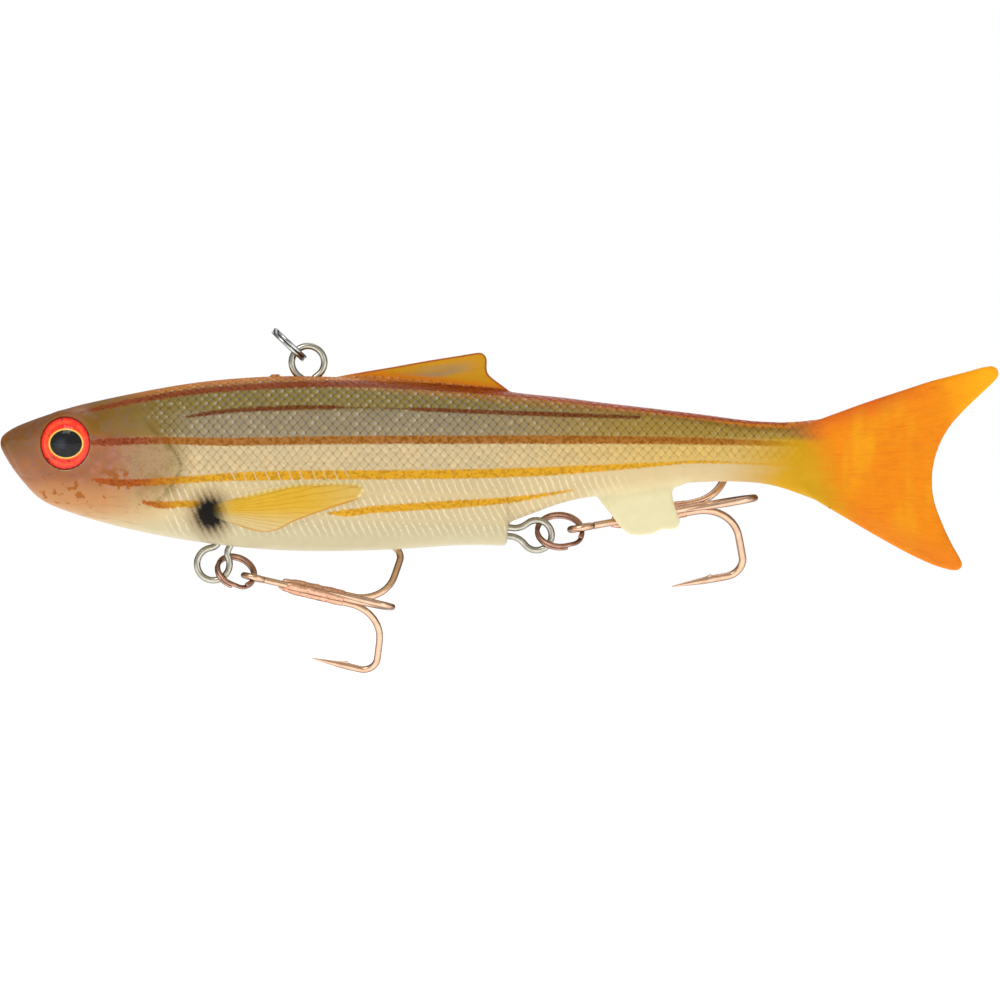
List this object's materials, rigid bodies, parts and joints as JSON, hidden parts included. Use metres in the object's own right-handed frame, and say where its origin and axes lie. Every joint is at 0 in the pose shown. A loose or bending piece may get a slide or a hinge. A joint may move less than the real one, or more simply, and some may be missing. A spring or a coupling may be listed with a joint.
{
  "type": "soft swimbait",
  "caption": "Fish-shaped soft fishing lure with a flexing forked tail, a wire line tie on the back with a split ring, and treble hooks on split rings under the belly and the rear.",
  "frame": {"origin": "centre of the line tie's wire loop on the back", "axes": "+X towards the tail, +Z towards the back, +Y towards the bait's right-hand side"},
  "size_m": [0.1498, 0.0224, 0.052],
  "materials": {
    "soft_body": "soft moulded plastic, painted with stripes and scales, satin",
    "soft_tail": "soft moulded plastic, translucent orange, satin",
    "lead": "plain cast lead",
    "steel_wire": "bright stainless wire",
    "eye_print": "printed foil, gloss",
    "clear_dome": "clear cast resin, gloss",
    "bronze_ring": "bronzed steel, gloss",
    "bronze_hook": "bronzed steel, gloss",
    "braze": "rough brazing"
  },
  "bodies": {
    "lure_body": {"body_skin": "soft_body", "keel_weight": "lead", "line_tie_wire": "steel_wire", "belly_hanger_wire": "steel_wire", "rear_hanger_wire": "steel_wire", "eye_foil_left": "eye_print", "eye_foil_right": "eye_print", "eye_lens_left": "clear_dome", "eye_lens_right": "clear_dome"},
    "line_ring_body": {"line_ring": "steel_wire"},
    "belly_ring_body": {"belly_ring": "bronze_ring"},
    "belly_treble": {"belly_eyed_hook": "bronze_hook", "belly_side_hook_lower": "bronze_hook", "belly_side_hook_upper": "bronze_hook", "belly_hook_braze": "braze"},
    "rear_ring_body": {"rear_ring": "bronze_ring"},
    "rear_treble": {"rear_eyed_hook": "bronze_hook", "rear_side_hook_lower": "bronze_hook", "rear_side_hook_upper": "bronze_hook", "rear_hook_braze": "braze"},
    "tail_root_body": {"tail_root": "soft_body"},
    "tail_stem_body": {"tail_stem": "soft_tail"},
    "tail_fin_body": {"tail_fin": "soft_tail"}
  },
  "joints": [
    {"name": "tail_root_flex", "type": "hinge", "parent": "lure_body", "child": "tail_root_body", "pos_m": [0.045, 0, -0.013], "axis": [0, 0, 1], "range_deg": [-7, 7], "stiffness_Nm_per_rad": 0.03},
    {"name": "tail_stem_flex", "type": "hinge", "parent": "tail_root_body", "child": "tail_stem_body", "pos_m": [0.0595, 0, -0.013], "axis": [0, 0, 1], "range_deg": [-12, 12], "stiffness_Nm_per_rad": 0.008},
    {"name": "tail_fin_flex", "type": "hinge", "parent": "tail_stem_body", "child": "tail_fin_body", "pos_m": [0.072, 0, -0.013], "axis": [0, 0, 1], "range_deg": [-18, 18], "stiffness_Nm_per_rad": 0.002},
    {"name": "line_ring_swing", "type": "hinge", "parent": "lure_body", "child": "line_ring_body", "pos_m": [0, 0, 0], "axis": [0, 1, 0], "range_deg": [-45, 135]},
    {"name": "belly_ring_swing", "type": "hinge", "parent": "lure_body", "child": "belly_ring_body", "pos_m": [-0.0142, 0, -0.03024], "axis": [0, 1, 0], "range_deg": [-3, 150]},
    {"name": "belly_treble_swing", "type": "hinge", "parent": "belly_ring_body", "child": "belly_treble", "pos_m": [-0.00811, 0.00092, -0.03232], "axis": [0.129, 0.699, 0.7034], "range_deg": [-3, 34]},
    {"name": "rear_ring_swing", "type": "hinge", "parent": "lure_body", "child": "rear_ring_body", "pos_m": [0.0343, 0, -0.02593], "axis": [0, 1, 0], "range_deg": [0, 120]},
    {"name": "rear_treble_swing", "type": "hinge", "parent": "rear_ring_body", "child": "rear_treble", "pos_m": [0.04107, 0.00139, -0.0248], "axis": [-0.2418, 0.6847, 0.6875], "range_deg": [0, 16]}
  ]
}
